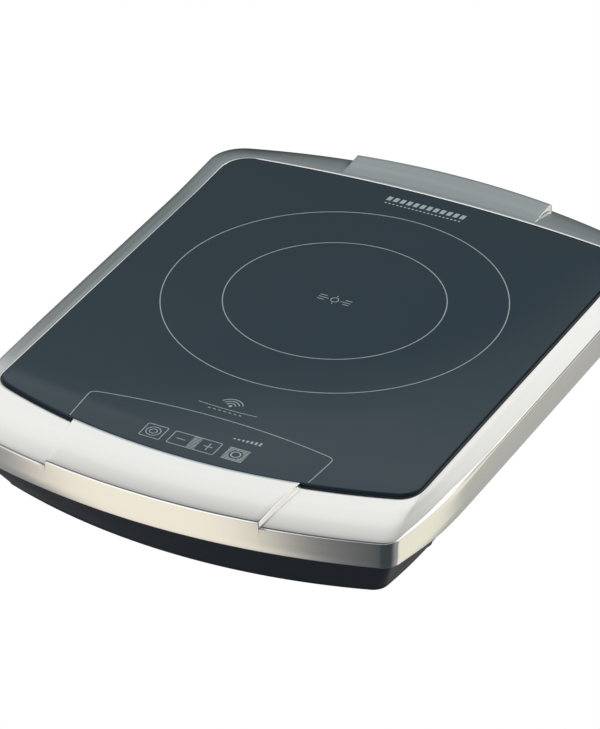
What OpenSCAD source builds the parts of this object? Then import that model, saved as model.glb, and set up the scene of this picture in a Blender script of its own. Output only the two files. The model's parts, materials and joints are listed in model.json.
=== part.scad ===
// Portable electric induction cooktop: one cooking zone, touch keys under the glass.
// Origin at the middle of the footprint on the standing surface, +X right, +Y to the rear, +Z up, millimetres.

/* [Glass] */
// Half of the glass width
glass_hw = 145.9; // [140:0.5:148]
// Front apex of the glass edge, measured forward from the origin
glass_front = 172.4; // [166:0.2:174]
// Rear apex of the glass edge, measured back from the origin
glass_rear = 184; // [180:0.2:186]
// Glass thickness
glass_t = 4; // [3:0.5:5]
// Height of the cooking surface above the table
glass_z = 67.5; // [66:0.5:70]
// Corner radius of the glass
glass_r = 15; // [10:1:20]

/* [Steel frame] */
// Half of the overall width
band_hw = 162.6; // [160:0.5:166]
// Half of the overall depth, front apex to rear apex
band_hl = 216.9; // [214:0.5:219]
// Radius of the bowed front edge in plan
band_rho_f = 470; // [440:5:500]
// Radius of the bowed rear edge in plan
band_rho_b = 440; // [400:5:450]
// Drop from the glass to the lower edge of the band
band_drop = 24.5; // [22:0.5:27]
// Extra drop of the lower edge along the sides and the rear
side_drop = 3.4; // [0:0.1:4]
// Drop from the glass to the crest of the frame
crest_drop = 6.1; // [5:0.1:7]
// Sheet thickness
sheet_t = 1.2; // [1:0.1:1.5]
// Width of the black joint around the glass
joint_w = 1.3; // [1:0.1:2.6]
// Step height of the front raised pad
pad_front_h = 3.3; // [2.5:0.1:4]
// Step height of the rear raised pad at the outer crest
pad_rear_h = 4.6; // [2.5:0.1:5]

/* [Base] */
// Half width of the flat underside
base_hw = 137; // [134:0.5:139]
// Height of the rubber feet
foot_h = 2.5; // [2:0.1:4]
// Wall thickness of the plastic base
wall = 2.5; // [2:0.1:3]
// Radius of a rubber foot
foot_r = 8; // [7:0.5:9]

/* [Cooking zone] */
// Centre of the zone, measured back from the origin
zone_y = 36; // [34:0.5:38]
// Outer radius of the coil winding
coil_ro = 92; // [88:1:94]
// Inner radius of the coil winding
coil_ri = 24; // [22:1:30]
// Number of turns
coil_turns = 19; // [16:1:20]

/* [Fan] */
// Side of the square fan frame
fan_s = 80; // [78:1:82]
// Radius over the blade tips
fan_rt = 36.5; // [35:0.5:37]
// Number of blades
fan_blades = 7; // [5:1:9]
// Radius of the fan shaft
shaft_r = 1.5; // [1.2:0.1:1.8]
// Radial clearance of the shaft in its bearing
shaft_fit = 0.05; // [0.02:0.01:0.08]

/* [Cord gland] */
// Radius of the cord that the gland takes
cord_r = 3.75; // [3.5:0.05:4]

/* [Hidden] */
$fn = 48;

// ---- plan outlines ----
// An outline is [half width, front apex, front radius, rear apex, rear radius, front corner, rear corner, side bend y, side bend radius].
GL = [glass_hw, glass_front, 400, glass_rear, 900, glass_r, glass_r + 5, -120, 90000];
BD = [band_hw, band_hl, band_rho_f, band_hl, band_rho_b, 13, 26, -104, 460];
BS = [base_hw, 184.8, 386, 185.5, 380, 11, 14, -100, 460];
function vlen(v) = sqrt(v * v);
function mix(a, b, u) = a * (1 - u) + b * u;
function smooth(u) = let(t = min(1, max(0, u))) t * t * (3 - 2 * t);
// crossing of two circles, on the side asked for
function cross2(c1, r1, c2, r2, s) = let(d = c2 - c1, L = vlen(d), a = (L * L + r1 * r1 - r2 * r2) / (2 * L), h = sqrt(max(0, r1 * r1 - a * a)), e = d / L)
  c1 + a * e + s * h * [-e[1], e[0]];
function span(a, b, n) = [for (i = [0:n]) a + (b - a) * i / n];
function arcpts(c, r, a, b, n) = [for (i = [0:n]) let(t = a + (b - a) * i / n) c + r * [cos(t), sin(t)]];
// right half of an outline, front middle to rear middle; xf and xb are the half widths of the raised pads, e the half width of their end steps
function half(P, d, xf, xb, e, q) = let(
    cf = [0, -P[1] + P[2]], Rf = P[2] - d, cb = [0, P[3] - P[4]], Rb = P[4] - d,
    cs = [P[0] - P[8], P[7]], Rs = P[8] - d,
    rf = max(0.6, P[5] - d), rb = max(0.6, P[6] - d),
    vf = cross2(cf, Rf - rf, cs, Rs - rf, 1),
    xe = P[0] - d - rb, vb = [xe, cb[1] + sqrt((Rb - rb) * (Rb - rb) - xe * xe)],
    a1 = atan2(vf[1] - cf[1], vf[0] - cf[0]), a2 = atan2(vf[1] - cs[1], vf[0] - cs[0]),
    b2 = atan2(vb[1] - cb[1], vb[0] - cb[0]),
    xa = cf[0] + Rf * cos(a1), xc = cb[0] + Rb * cos(b2),
    fx = concat(span(0, xf - e, q), span(xf + e, xa, q)),
    bx = concat(span(xc, xb + e, q), span(xb - e, 0, q)))
  concat(
    [for (x = fx) [x, cf[1] - sqrt(Rf * Rf - x * x)]],
    [for (i = [1:q + 1]) vf + rf * [cos(a1 + (a2 - a1) * i / (q + 1)), sin(a1 + (a2 - a1) * i / (q + 1))]],
    [for (i = [1:q]) cs + Rs * [cos(a2 * (1 - i / q)), sin(a2 * (1 - i / q))]],
    [for (i = [1:2]) [P[0] - d, P[7] + (vb[1] - P[7]) * i / 3]],
    [for (i = [0:q]) vb + rb * [cos(b2 * i / (q + 1)), sin(b2 * i / (q + 1))]],
    [for (x = bx) [x, cb[1] + sqrt(Rb * Rb - x * x)]]);
// whole outline, counter-clockwise from the front middle
function loop(P, d, xf = 74, xb = 72, e = 0.4, q = 5) = let(h = half(P, d, xf, xb, e, q), n = len(h))
  concat(h, [for (i = [n - 2:-1:1]) [-h[i][0], h[i][1]]]);
function lmix(A, B, u) = [for (i = [0:len(A) - 1]) mix(A[i], B[i], u)];
// solid of stacked loops of equal length, closed at both ends
module stack(L) {
  n = len(L[0]); m = len(L);
  polyhedron(points = [for (l = L) for (p = l) p],
    faces = concat([[for (i = [0:n - 1]) i]], [[for (i = [n - 1:-1:0]) (m - 1) * n + i]],
      [for (j = [0:m - 2]) for (i = [0:n - 1]) let(k = (i + 1) % n) each [[j * n + i, (j + 1) * n + i, (j + 1) * n + k], [j * n + i, (j + 1) * n + k, j * n + k]]]), convexity = 8);
}
// ring whose closed section is the list of loops
module torus_stack(L) {
  n = len(L[0]); m = len(L);
  polyhedron(points = [for (l = L) for (p = l) p],
    faces = [for (j = [0:m - 1]) let(jn = (j + 1) % m) for (i = [0:n - 1]) let(k = (i + 1) % n) each [[j * n + i, jn * n + i, jn * n + k], [j * n + i, jn * n + k, j * n + k]]], convexity = 10);
}
function at_z(l, z) = [for (p = l) [p[0], p[1], z]];
// smooth curve through hand-set route points
function cr(a, b, c, d, t) = 0.5 * ((2 * b) + (c - a) * t + (2 * a - 5 * b + 4 * c - d) * t * t + (3 * b - a - 3 * c + d) * t * t * t);
function route(P, k = 4) = let(n = len(P)) concat([for (i = [0:n - 2]) for (j = [0:k - 1]) cr(P[max(0, i - 1)], P[i], P[i + 1], P[min(n - 1, i + 2)], j / k)], [P[n - 1]]);
// round lead swept along a route
module lead(P, r, s = 8, k = 4) {
  Q = route(P, k); n = len(Q); w = [0.36, 0.48, 0.8];
  R = [for (i = [0:n - 1]) let(t0 = Q[min(n - 1, i + 1)] - Q[max(0, i - 1)], t = t0 / vlen(t0), a0 = cross(t, w), a = a0 / vlen(a0), b = cross(t, a))
    [for (j = [0:s - 1]) Q[i] + r * (cos(360 * j / s) * a + sin(360 * j / s) * b)]];
  polyhedron(points = [for (l = R) for (p = l) p],
    faces = concat([[for (i = [s - 1:-1:0]) i]], [[for (i = [0:s - 1]) (n - 1) * s + i]],
      [for (j = [0:n - 2]) for (i = [0:s - 1]) let(k = (i + 1) % s) each [[j * s + i, j * s + k, (j + 1) * s + k], [j * s + i, (j + 1) * s + k, (j + 1) * s + i]]]), convexity = 6);
}
module rbox(x0, x1, y0, y1, z0, z1) { translate([x0, y0, z0]) cube([x1 - x0, y1 - y0, z1 - z0]); }
module cyl(x, y, z0, z1, r) { translate([x, y, z0]) cylinder(h = z1 - z0, r = r); }

// ---- levels ----
ledge_z = glass_z - 5;
floor_z = foot_h + wall;
coil_z = glass_z - 4.6 - 4;
carrier_z = coil_z - 3.5;
ferrite_z = carrier_z - 5;
shield_z = ferrite_z - 1.2;
pcb_z = 14;
pcb_t = 1.6;
top_z = pcb_z + pcb_t;

// ---- steel frame ----
// the rear rail stands a little higher than the sides
function rise(p) = 2.7 * smooth((p[1] - 110) / 70);
pad_xf = 74; pad_xb = 72;
function in_front(p, w) = (p[1] < -100 && abs(p[0]) < w) ? 1 : 0;
function in_rear(p, w) = (p[1] > 100 && abs(p[0]) < w) ? 1 : 0;
// lift of a frame point: u runs from the glass joint (0) to the crest (1)
function lift(p, u, wf, wb) = rise(p) * (0.75 + 0.25 * u) + in_front(p, wf) * (pad_front_h + 0.1 * u) + in_rear(p, wb) * pad_rear_h * pow(u, 1.8);
function lifted(l, z, u, wf, wb) = [for (p = l) [p[0], p[1], z + lift(p, u, wf, wb)]];
// lower edge of the band: higher across the front than along the sides and the rear
function low_edge(l, z) = [for (p = l) [p[0], p[1], glass_z - band_drop - side_drop * smooth((p[1] + 190) / 60) + z]];
module steel_frame() {
  gz = glass_z;
  // joint outline with the pads opening from the outer to the inner half width
  G = function (d, s) loop(GL, d, 79 - s, 71.3 - s);
  B = function (d, s) loop(BD, d, pad_xf - s, pad_xb - s);
  S = function (u, s) lmix(loop(GL, -joint_w - 0.6, 79 - s, 71.3 - s), loop(BD, 3, pad_xf - s, pad_xb - s), u);
  t = sheet_t; zc = gz - crest_drop; s = 1.2;
  L = [
    at_z(G(7.5, 0), ledge_z), at_z(G(-joint_w, 0), ledge_z),
    lifted(G(-joint_w, 0), gz - 3, 0, 79, 71.3), lifted(G(-joint_w - 0.25, 0), gz - 2.45, 0, 79, 71.3), lifted(G(-joint_w - 0.8, 0), gz - 2.2, 0, 79, 71.3),
    lifted(S(0.3, 0), gz - 3.05, 0.3, 77.5, 71.6), lifted(S(0.65, 0), gz - 4.35, 0.65, 75.8, 71.8),
    lifted(B(0.6, 0), zc - 0.74, 1, pad_xf, pad_xb), lifted(B(0.15, 0), zc - 1.12, 1, pad_xf, pad_xb), lifted(B(0, 0), zc - 1.9, 1, pad_xf, pad_xb),
    low_edge(B(0, 0), 0.6), low_edge(B(0.4, 0), 0),
    low_edge(B(t, s), 0), lifted(B(t, s), zc - 3.2, 1, pad_xf - s, pad_xb - s), lifted(B(t + 1.4, s), zc - t - 0.7, 1, pad_xf - s, pad_xb - s), lifted(B(t + 2.2, s), zc - t - 0.1, 1, pad_xf - s, pad_xb - s),
    lifted(S(0.3, s), gz - 3.05 - t, 0.3, 77.5 - s, 71.6 - s),
    lifted(G(-joint_w - t - 0.2, s), gz - 2.3 - t, 0, 79 - s, 71.3 - s), at_z(G(-joint_w - t, s), ledge_z - t), at_z(G(7.5, 0), ledge_z - t)];
  color([0.80, 0.80, 0.79]) torus_stack(L);
}

// ---- glass and its silicone joint ----
module outline2(P, d) { polygon(loop(P, d)); }
module glass_plate() { color([0.22, 0.26, 0.30]) translate([0, 0, glass_z - glass_t]) linear_extrude(glass_t) outline2(GL, 0); }
module glass_seal() {
  color([0.10, 0.11, 0.13]) {
    translate([0, 0, ledge_z]) linear_extrude(glass_z - glass_t - ledge_z) difference() { polygon(loop(GL, -joint_w, 79, 71.3)); outline2(GL, 6.5); }
    translate([0, 0, glass_z - glass_t]) linear_extrude(glass_t - 2.3) difference() { polygon(loop(GL, -joint_w, 79, 71.3)); outline2(GL, 0); }
  }
}

// ---- brackets welded under the frame ledge, and the screws from below ----
bracket_y = [-126, 36, 146];
module frame_brackets() {
  color([0.72, 0.73, 0.74]) for (sx = [-1, 1]) for (y = bracket_y) difference() {
    union() {
      rbox(sx > 0 ? 136 : -145.5, sx > 0 ? 145.5 : -136, y - 10, y + 10, ledge_z - sheet_t - 1.2, ledge_z - sheet_t);
      rbox(sx > 0 ? 136 : -137.2, sx > 0 ? 137.2 : -136, y - 10, y + 10, 48, ledge_z - sheet_t - 0.6);
      rbox(sx > 0 ? 114 : -137.2, sx > 0 ? 137.2 : -114, y - 10, y + 10, 48, 49.2);
    }
    cyl(sx * 122, y, 40, 52, 1.55);
  }
}
module base_screws() {
  color([0.55, 0.56, 0.58]) for (sx = [-1, 1]) for (y = bracket_y) union() {
    difference() { cyl(sx * 122, y, 36.6, 39, 3); for (a = [0, 90]) translate([sx * 122, y, 35.6]) rotate(a) rbox(-1.9, 1.9, -0.4, 0.4, 0, 2.1); }
    cyl(sx * 122, y, 38.5, 52, 1.5);
  }
}

// ---- base ----
shield_post = [[-100, -52], [100, -52], [-100, 124], [100, 124]];
board_post = [[-87, -57], [87, -57], [-87, 35], [87, 48], [87, 125.5], [6.5, 125.5]];
fan_c = [-48, 92];
fan_post = [for (a = [-1, 1]) for (b = [-1, 1]) fan_c + [a, b] * 35.5];
touch_post = [[-62, -118], [62, -118]];
gland_x = 70; gland_z = 24;
foot_pos = [[-128.5, -100], [128.5, -100], [-128.5, 110], [128.5, 110]];
module base_shell() {
  q = 3;
  B = function (d) loop(BD, d, 74, 72, 0.4, q);
  P = function (d) loop(BS, d, 74, 72, 0.4, q);
  difference() {
    stack([at_z(P(0.8), foot_h), at_z(P(0.1), foot_h + 1), at_z(lmix(P(0), B(4), 0.56), 25.5), at_z(B(4), glass_z - band_drop + 0.4), at_z(B(2.2), glass_z - band_drop + 1.6), at_z(B(2.2), 49)]);
    stack([at_z(P(4.4), floor_z), at_z(P(wall + 0.4), floor_z + 1.8), at_z(lmix(P(wall), B(4 + wall), 0.56), 25.5), at_z(B(4 + wall), glass_z - band_drop + 1), at_z(B(2.2 + wall), glass_z - band_drop + 2.6), at_z(B(2.2 + wall), 50)]);
  }
}
module base_housing() {
  color([0.13, 0.15, 0.19]) difference() {
    union() {
      base_shell();
      for (p = shield_post) cyl(p[0], p[1], floor_z - 0.5, shield_z, 4);
      for (p = board_post) cyl(p[0], p[1], floor_z - 0.5, pcb_z, 3.6);
      for (p = fan_post) cyl(p[0], p[1], floor_z - 0.5, 7.7, 3.6);
      for (p = touch_post) cyl(p[0], p[1], floor_z - 0.5, 49, 4);
      for (sx = [-1, 1]) for (y = bracket_y) cyl(sx * 122, y, floor_z - 0.5, 48, 5);
      translate([gland_x, 181, gland_z]) rotate([-90, 0, 0]) cylinder(h = 19, r = 13);
    }
    for (p = shield_post) cyl(p[0], p[1], shield_z - 14, shield_z + 1, 1.5);
    for (p = board_post) cyl(p[0], p[1], pcb_z - 6, pcb_z + 1, 1.3);
    for (p = fan_post) cyl(p[0], p[1], foot_h - 1, 9, 1.9);
    for (p = touch_post) cyl(p[0], p[1], 37, 50, 1.3);
    for (sx = [-1, 1]) for (y = bracket_y) { cyl(sx * 122, y, foot_h - 1, 39, 3.4); cyl(sx * 122, y, 38, 49, 1.75); }
    translate([gland_x, 170, gland_z]) rotate([-90, 0, 0]) cylinder(h = 50, r = 7.1);
    translate([gland_x, 200, gland_z]) rotate([-90, 0, 0]) cylinder(h = 30, r = 11.5);
    // intake slots under the fan
    for (i = [-5:5]) let(w = sqrt(max(0, 34 * 34 - (i * 6.2) * (i * 6.2)))) rbox(fan_c[0] - w, fan_c[0] + w, fan_c[1] + i * 6.2 - 1.5, fan_c[1] + i * 6.2 + 1.5, foot_h - 1, floor_z + 0.6);
    // outlet slots in the floor on the right
    for (i = [0:11]) rbox(98, 114, 104 - i * 7, 107 - i * 7, foot_h - 1, floor_z + 0.6);
    // outlet slots low in the rear wall
    for (i = [-7:1]) rbox(i * 9 - 26, i * 9 - 23, 174, 205, 14, 34);
  }
}
module rubber_feet() { color([0.09, 0.09, 0.10]) for (p = foot_pos) union() { cyl(p[0], p[1], 0.8, foot_h, foot_r); cyl(p[0], p[1], 0, 1, foot_r - 0.8); } }

// ---- cord gland ----
module cord_gland() {
  color([0.08, 0.08, 0.09]) translate([gland_x, 0, gland_z]) rotate([-90, 0, 0]) rotate_extrude($fn = 64)
    polygon([[cord_r, 170], [6.9, 170], [6.9, 200], [10, 200], [10, 203], [8.6, 204], [6.6, 213], [cord_r, 213]]);
}
module gland_nut() {
  color([0.16, 0.16, 0.17]) translate([gland_x, 173.8, gland_z]) rotate([-90, 0, 0]) difference() { cylinder(h = 7, r = 11.5, $fn = 6); translate([0, 0, -1]) cylinder(h = 9, r = 7); }
}

// ---- cooking zone ----
module at_zone() { translate([0, zone_y, 0]) children(); }
module mica_sheet() { color([0.78, 0.74, 0.62]) at_zone() difference() { cyl(0, 0, coil_z + 4, glass_z - glass_t, 98); cyl(0, 0, coil_z, glass_z, 10); } }
coil_pitch = (coil_ro - coil_ri) / coil_turns;
function spiral(r0, n, o) = [for (i = [0:n]) let(a = i * 12, r = r0 + coil_pitch * a / 360 + o) r * [cos(a), sin(a)]];
module induction_coil() {
  n = (coil_turns - 1) * 30; w = coil_pitch * 0.86;
  color([0.72, 0.42, 0.20]) at_zone() translate([0, 0, coil_z]) linear_extrude(4)
    polygon(concat(spiral(coil_ri, n, 0), [for (i = [n:-1:0]) spiral(coil_ri, n, w)[i]]));
}
carrier_screw = [for (a = [30:120:270]) 95.5 * [cos(a), sin(a)]];
module coil_carrier() {
  color([0.20, 0.20, 0.21]) at_zone() difference() {
    union() {
      cyl(0, 0, carrier_z, coil_z, 94);
      for (p = carrier_screw) cyl(p[0], p[1], shield_z + 1.2, coil_z, 5);
    }
    cyl(0, 0, carrier_z - 1, coil_z + 1, 9.2);
    for (a = [22.5:45:337.5]) rotate(a) { rbox(38, 58, -9, 9, carrier_z - 1, coil_z + 1); rbox(64, 84, -13, 13, carrier_z - 1, coil_z + 1); }
    for (p = carrier_screw) cyl(p[0], p[1], shield_z, coil_z + 1, 1.8);
    cyl(25.5, 0, carrier_z - 1, coil_z + 1, 2.4);
    rbox(87.5, 96, -2.4, 2.4, carrier_z - 1, coil_z + 1);
  }
}
module ferrite_bars() { color([0.16, 0.16, 0.17]) at_zone() for (a = [0:45:315]) rotate(a) rbox(30, 84, -6, 6, ferrite_z, carrier_z); }
module shield_plate() {
  color([0.80, 0.82, 0.84]) difference() {
    rbox(-104, 104, -66, 128, shield_z, shield_z + 1.2);
    cyl(0, zone_y, shield_z - 1, shield_z + 3, 28.5);
    cyl(90, zone_y, shield_z - 1, shield_z + 3, 3.6);
    for (sx = [-1, 1]) translate([sx * 104, -66, shield_z - 1]) rotate(45) cube([12, 12, 6], center = true);
    for (p = shield_post) cyl(p[0], p[1], shield_z - 1, shield_z + 3, 1.9);
    for (p = carrier_screw) cyl(p[0], p[1] + zone_y, shield_z - 1, shield_z + 3, 1.55);
        cyl(90, 12, shield_z - 1, shield_z + 3, 2.1);
  }
}
module pan_screw(x, y, z, l, r, h = 1.8) { union() { cyl(x, y, z, z + h, r * 1.9); cyl(x, y, z - l, z + 0.2, r); } }
module shield_screws() { color([0.70, 0.71, 0.72]) for (p = shield_post) pan_screw(p[0], p[1], shield_z + 1.2, 12, 1.45); }
module carrier_screws() { color([0.70, 0.71, 0.72]) for (p = carrier_screw) pan_screw(p[0], p[1] + zone_y, coil_z, 9.8, 1.5, 1.6); }
module thermistor_holder() {
  color([0.62, 0.20, 0.16]) at_zone() difference() {
    union() { cyl(0, 0, carrier_z, glass_z - glass_t - 1.2, 9); cyl(0, 0, coil_z, coil_z + 1.5, 12); }
    cyl(0, 0, carrier_z - 1, glass_z, 1.6);
  }
}
module thermistor() { color([0.12, 0.12, 0.12]) at_zone() union() { cyl(0, 0, glass_z - glass_t - 1.2, glass_z - glass_t, 4.5); cyl(0, 0, carrier_z + 3, glass_z - glass_t - 1, 1.4); } }

// ---- power board ----
module power_board() {
  color([0.16, 0.38, 0.22]) difference() {
    translate([0, 0, pcb_z]) linear_extrude(pcb_t) polygon([[-92, -62], [92, -62], [92, 130.5], [2, 130.5], [2, 40], [-92, 40]]);
    for (p = board_post) cyl(p[0], p[1], pcb_z - 1, top_z + 1, 1.8);
    for (p = igbt_pos) cyl(p[0] + 6, p[1], pcb_z - 1, top_z + 1, 3.2);
    cyl(62, 92, pcb_z - 1, top_z + 1, 3.2);
  }
}
module board_screws() { color([0.70, 0.71, 0.72]) for (p = board_post) pan_screw(p[0], p[1], top_z, 6, 1.25); }
igbt_pos = [[32, 76], [32, 108]];
sink_z = top_z + 5.2;
module heatsink() {
  color([0.66, 0.68, 0.70]) difference() {
    union() {
      rbox(12, 80, 56, 128, sink_z, sink_z + 5);
      for (i = [0:9]) rbox(12, 80, 56 + i * 7.78, 58 + i * 7.78, sink_z + 4, 44);
      for (x = [15, 77]) for (y = [60, 92, 124]) cyl(x, y, top_z, sink_z + 1, 2.4);
    }
    for (p = igbt_pos) cyl(p[0] + 6, p[1], sink_z - 1, sink_z + 4.4, 1.55);
    cyl(62, 92, sink_z - 1, sink_z + 4.4, 1.55);
  }
}
module igbt_pair() {
  color([0.10, 0.10, 0.11]) for (p = igbt_pos) difference() {
    union() {
      rbox(p[0] - 10, p[0] + 11, p[1] - 7.8, p[1] + 7.8, top_z, sink_z);
      for (k = [-1:1]) rbox(p[0] - 14, p[0] - 9, p[1] + k * 5.4 - 0.6, p[1] + k * 5.4 + 0.6, top_z, top_z + 2.4);
    }
    cyl(p[0] + 6, p[1], top_z - 1, sink_z + 1, 1.8);
  }
}
module bridge_rectifier() {
  color([0.10, 0.10, 0.11]) difference() {
    union() { rbox(52, 72, 77, 107, top_z, sink_z); for (k = [-1.5:1:1.5]) rbox(72, 75.5, 92 + k * 7.5 - 0.6, 92 + k * 7.5 + 0.6, top_z, top_z + 2.4); }
    cyl(62, 92, top_z - 1, sink_z + 1, 1.8);
  }
}
module heatsink_screws() { color([0.70, 0.71, 0.72]) for (p = [[38, 76], [38, 108], [62, 92]]) union() { cyl(p[0], p[1], top_z - 2, top_z, 2.8); cyl(p[0], p[1], top_z - 0.2, sink_z + 4.2, 1.5); } }
module box_cap(x0, x1, y0, y1, h, c) { color(c) difference() { rbox(x0, x1, y0, y1, top_z, top_z + h); rbox(x0 + 3, x1 - 3, y0 + 3, y1 - 3, top_z - 1, top_z + 0.8); } }
module resonant_capacitor() { box_cap(-82, -40, -60, -36, 29, [0.93, 0.92, 0.88]); }
module bus_capacitor() { box_cap(-88, -56, -28, -8, 27, [0.90, 0.78, 0.25]); }
module interference_capacitor() { box_cap(52, 78, -60, -48, 21, [0.92, 0.80, 0.28]); }
module smoothing_capacitors() { color([0.12, 0.14, 0.22]) for (p = [[38, 20, 5, 20], [54, 20, 6.5, 22]]) difference() { cyl(p[0], p[1], top_z, top_z + p[3], p[2]); rotate(0) rbox(p[0] - p[2] + 1.5, p[0] + p[2] - 1.5, p[1] - 0.3, p[1] + 0.3, top_z + p[3] - 0.5, top_z + p[3] + 1); rbox(p[0] - 0.3, p[0] + 0.3, p[1] - p[2] + 1.5, p[1] + p[2] - 1.5, top_z + p[3] - 0.5, top_z + p[3] + 1); } }
choke_c = [-14, -36];
module choke_core() { color([0.30, 0.33, 0.30]) translate([choke_c[0], choke_c[1], top_z + 3]) rotate_extrude() polygon([[8.15, 0.05], [15.9, 0.05], [15.9, 11.95], [8.15, 11.95]]); }
module filter_choke() {
  color([0.75, 0.45, 0.20]) translate([choke_c[0], choke_c[1], 0]) for (a = [0:20:320]) rotate(a) difference() {
    rbox(6, 18, -1, 1, top_z + 1, top_z + 17);
    rbox(8, 16, -2, 2, top_z + 3, top_z + 15);
  }
}
module common_mode_choke() {
  color([0.25, 0.50, 0.32]) translate([30, -34, 0]) union() {
    difference() { cyl(0, 0, top_z + 2, top_z + 13, 12); cyl(0, 0, top_z + 1, top_z + 14, 6); }
    for (s = [-1, 1]) for (a = [-40:20:40]) rotate(90 + s * 90 + a) difference() { rbox(4.8, 13.4, -0.9, 0.9, top_z + 0.8, top_z + 14.2); rbox(5.9, 12.1, -2, 2, top_z + 1.9, top_z + 13.1); }
    rbox(-13, 13, -0.8, 0.8, top_z, top_z + 12);
  }
}
module aux_transformer() { color([0.86, 0.74, 0.30]) union() { rbox(2, 22, 6, 26, top_z, top_z + 4); rbox(5, 19, 8, 24, top_z + 3, top_z + 15); rbox(2, 22, 11, 21, top_z + 5, top_z + 13); } }
module current_transformer() { color([0.20, 0.22, 0.35]) difference() { rbox(-46, -30, -14, 0, top_z, top_z + 15); translate([-38, -20, top_z + 8]) rotate([-90, 0, 0]) cylinder(h = 30, r = 3.2); } }
module fuse() { color([0.85, 0.86, 0.88]) translate([62, -24, top_z + 5]) rotate([0, 90, 0]) cylinder(h = 22, r = 2.6); }
module fuse_clips() {
  color([0.78, 0.72, 0.45]) for (x = [63.5, 78.5]) difference() {
    rbox(x, x + 4, -28, -20, top_z, top_z + 7.5);
    translate([x - 1, -24, top_z + 5]) rotate([0, 90, 0]) cylinder(h = 6, r = 2.65);
    rbox(x - 1, x + 5, -26, -22, top_z + 5, top_z + 9);
  }
}
module varistor() { color([0.18, 0.30, 0.62]) union() { translate([82, -8, top_z + 9]) rotate([0, 90, 0]) cylinder(h = 4.6, r = 7); for (y = [-11.5, -4.5]) rbox(83.8, 84.8, y, y + 1, top_z, top_z + 6); } }
module terminal_block() {
  color([0.88, 0.88, 0.85]) difference() {
    rbox(62, 90, 8, 22, top_z, top_z + 15);
    for (i = [0:2]) { cyl(67 + i * 9, 15, top_z + 6, top_z + 16, 2.4); translate([67 + i * 9, 14, top_z + 4.5]) rotate([-90, 0, 0]) cylinder(h = 10, r = 2); }
  }
}
module board_headers() { color([0.92, 0.91, 0.86]) { rbox(33, 49, -60.5, -55, top_z, top_z + 7); rbox(-66, -57, 30, 37, top_z, top_z + 7); rbox(-34, -26, 28, 34, top_z, top_z + 7); rbox(70, 78, 34, 42, top_z, top_z + 8); rbox(-30, -22, -2, 5, top_z, top_z + 8); } }

// ---- leads ----
module coil_leads() {
  color([0.60, 0.34, 0.16]) {
    lead([[90, 36, 58.9], [90, 36, 52], [89.5, 36.5, 45], [84, 38, 35], [77, 38, 30], [74, 38, 27.5], [74, 38, 23.8]], 2);
    lead([[25.5, 36, 58.9], [25.5, 36, 52], [25, 35, 45], [16, 30, 39], [0, 20, 34], [-16, 8, 30], [-25.5, 1.8, 27.5], [-26, 1.5, 25.5], [-26, 1.5, 23.9]], 2);
  }
}
module sensor_lead() { color([0.90, 0.90, 0.88]) lead([[0, 36, 58.4], [0, 36, 50], [-3, 36, 44], [-14, 35, 34], [-27, 32, 28], [-30, 31, 25], [-30, 31, 22.75]], 1); }
module fan_lead() { color([0.12, 0.12, 0.13]) lead([[-60, 51.4, 12], [-60, 48, 14], [-60, 44, 20], [-61, 38, 26], [-61.5, 34, 26], [-61.5, 33.5, 22.8]], 1.1); }
module earth_wire() { color([0.45, 0.68, 0.20]) lead([[85, 22, 20.1], [85, 27, 21], [88, 30, 28], [93, 24, 37], [92, 16, 41], [90, 12, 42.4], [90, 12, 45.9]], 1.2); }
module earth_screw() {
  color([0.78, 0.74, 0.50]) union() {
    difference() { cyl(90, 12, shield_z - 1.2, shield_z, 4.2); }
    cyl(90, 12, shield_z - 3, shield_z - 1.2, 3.4);
    cyl(90, 12, shield_z - 1.4, shield_z + 3.6, 2);
  }
}

// ---- fan ----
fan_z = 7.7;
module at_fan() { translate([fan_c[0], fan_c[1], 0]) children(); }
module fan_frame() {
  color([0.09, 0.09, 0.10]) at_fan() {
    difference() {
      rbox(-fan_s / 2, fan_s / 2, -fan_s / 2, fan_s / 2, fan_z, fan_z + 25);
      cyl(0, 0, fan_z - 1, fan_z + 26, fan_rt + 1.5);
      for (a = [-1, 1]) for (b = [-1, 1]) { cyl(a * 35.5, b * 35.5, fan_z - 1, fan_z + 26, 2.1); difference() { rbox(a > 0 ? 29 : -41, a > 0 ? 41 : -29, b > 0 ? 29 : -41, b > 0 ? 41 : -29, fan_z + 4, fan_z + 21); cyl(0, 0, fan_z, fan_z + 25, fan_rt + 3.4); cyl(a * 35.5, b * 35.5, fan_z, fan_z + 25, 3.8); } }
    }
    difference() {
      union() { cyl(0, 0, fan_z + 22.8, fan_z + 25, 17); for (a = [20:90:290]) rotate(a) rbox(16, fan_rt + 2.5, -2, 2, fan_z + 22.8, fan_z + 25); cyl(0, 0, fan_z + 6, fan_z + 24, 5.4); }
      cyl(0, 0, fan_z + 5, fan_z + 23.5, 4);
    }
  }
}
module fan_impeller() {
  color([0.12, 0.12, 0.13]) at_fan() union() {
    difference() { cyl(0, 0, fan_z + 1.5, fan_z + 22, 17.2); cyl(0, 0, fan_z + 3.5, fan_z + 23, 15.6); cyl(0, 0, fan_z, fan_z + 5, shaft_r); }
    for (i = [0:fan_blades - 1]) rotate(i * 360 / fan_blades) intersection() {
      difference() { cyl(0, 0, fan_z + 2, fan_z + 21, fan_rt); cyl(0, 0, fan_z, fan_z + 23, 16.8); }
      translate([26, 0, fan_z + 11.5]) rotate([42, 0, 0]) cube([24, 28, 1.5], center = true);
    }
  }
}
module fan_magnet() { color([0.25, 0.25, 0.27]) at_fan() difference() { cyl(0, 0, fan_z + 8, fan_z + 21, 15.6); cyl(0, 0, fan_z + 7, fan_z + 22, 14.4); } }
module fan_shaft() { color([0.82, 0.83, 0.85]) at_fan() cyl(0, 0, fan_z + 1.5, fan_z + 21, shaft_r); }
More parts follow.
